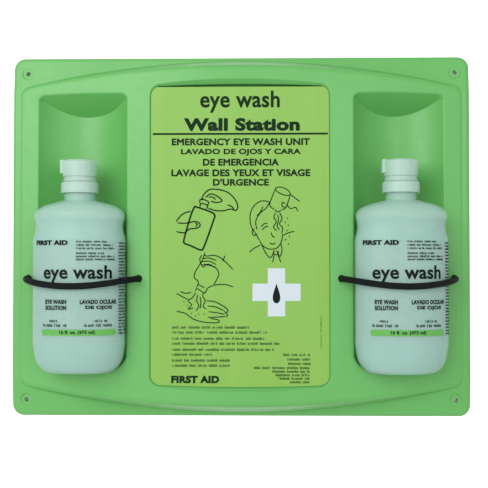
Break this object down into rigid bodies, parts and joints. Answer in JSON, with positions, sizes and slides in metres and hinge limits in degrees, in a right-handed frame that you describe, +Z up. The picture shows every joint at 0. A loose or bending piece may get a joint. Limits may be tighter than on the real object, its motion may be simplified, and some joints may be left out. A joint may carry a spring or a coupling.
{
  "type": "eyewash station",
  "caption": "Wall panel with a bowed middle and two niches, each holding a squeeze bottle of eye rinse behind an elastic cord.",
  "frame": {"origin": "on the wall, at the centre of the four screw holes", "axes": "+X to the right and +Z up as a person facing the station sees it, +Y into the wall"},
  "size_m": [0.445, 0.0762, 0.35],
  "materials": {
    "panel_plastic": "thermoformed bright green sheet with a soft satin face",
    "placard_print": "yellow-green printed plastic plate",
    "bottle_plastic": "natural translucent polyethylene",
    "saline": "clear liquid",
    "label_film": "clear film with printed lettering",
    "closure_plastic": "milky white polypropylene",
    "seal": "soft pale seal",
    "liner_foam": "white foam disc",
    "elastic_cord": "black braided elastic"
  },
  "bodies": {
    "station": {"back_panel": "panel_plastic", "placard": "placard_print", "left_cord": "elastic_cord", "left_cord_knots": "elastic_cord", "right_cord": "elastic_cord", "right_cord_knots": "elastic_cord"},
    "left_bottle_body": {"left_bottle": "bottle_plastic", "left_saline": "saline", "left_label": "label_film", "left_washer": "seal", "left_spray_nozzle": "closure_plastic", "left_collar": "closure_plastic"},
    "left_ring_body": {"left_tamper_ring": "closure_plastic"},
    "left_cap_body": {"left_cap": "closure_plastic", "left_cap_liner": "liner_foam"},
    "right_bottle_body": {"right_bottle": "bottle_plastic", "right_saline": "saline", "right_label": "label_film", "right_washer": "seal", "right_spray_nozzle": "closure_plastic", "right_collar": "closure_plastic"},
    "right_ring_body": {"right_tamper_ring": "closure_plastic"},
    "right_cap_body": {"right_cap": "closure_plastic", "right_cap_liner": "liner_foam"}
  },
  "joints": [
    {"name": "left_bottle_pull", "type": "slide", "parent": "station", "child": "left_bottle_body", "axis": [0, -1, 0], "range_m": [0, 0.06], "stiffness_N_per_m": 150, "springref_m": -0.02, "deforming": ["left_cord"]},
    {"name": "left_cap_twist", "type": "hinge", "parent": "left_bottle_body", "child": "left_ring_body", "pos_m": [-0.152, -0.043, 0.055], "axis": [0, 0, 1], "range_deg": [0, 90]},
    {"name": "left_cap_lift", "type": "slide", "parent": "left_ring_body", "child": "left_cap_body", "axis": [0, 0, 1], "range_m": [0, 0.04]},
    {"name": "right_bottle_pull", "type": "slide", "parent": "station", "child": "right_bottle_body", "axis": [0, -1, 0], "range_m": [0, 0.06], "stiffness_N_per_m": 150, "springref_m": -0.02, "deforming": ["right_cord"]},
    {"name": "right_cap_twist", "type": "hinge", "parent": "right_bottle_body", "child": "right_ring_body", "pos_m": [0.152, -0.043, 0.055], "axis": [0, 0, 1], "range_deg": [0, 90]},
    {"name": "right_cap_lift", "type": "slide", "parent": "right_ring_body", "child": "right_cap_body", "axis": [0, 0, 1], "range_m": [0, 0.04]}
  ]
}
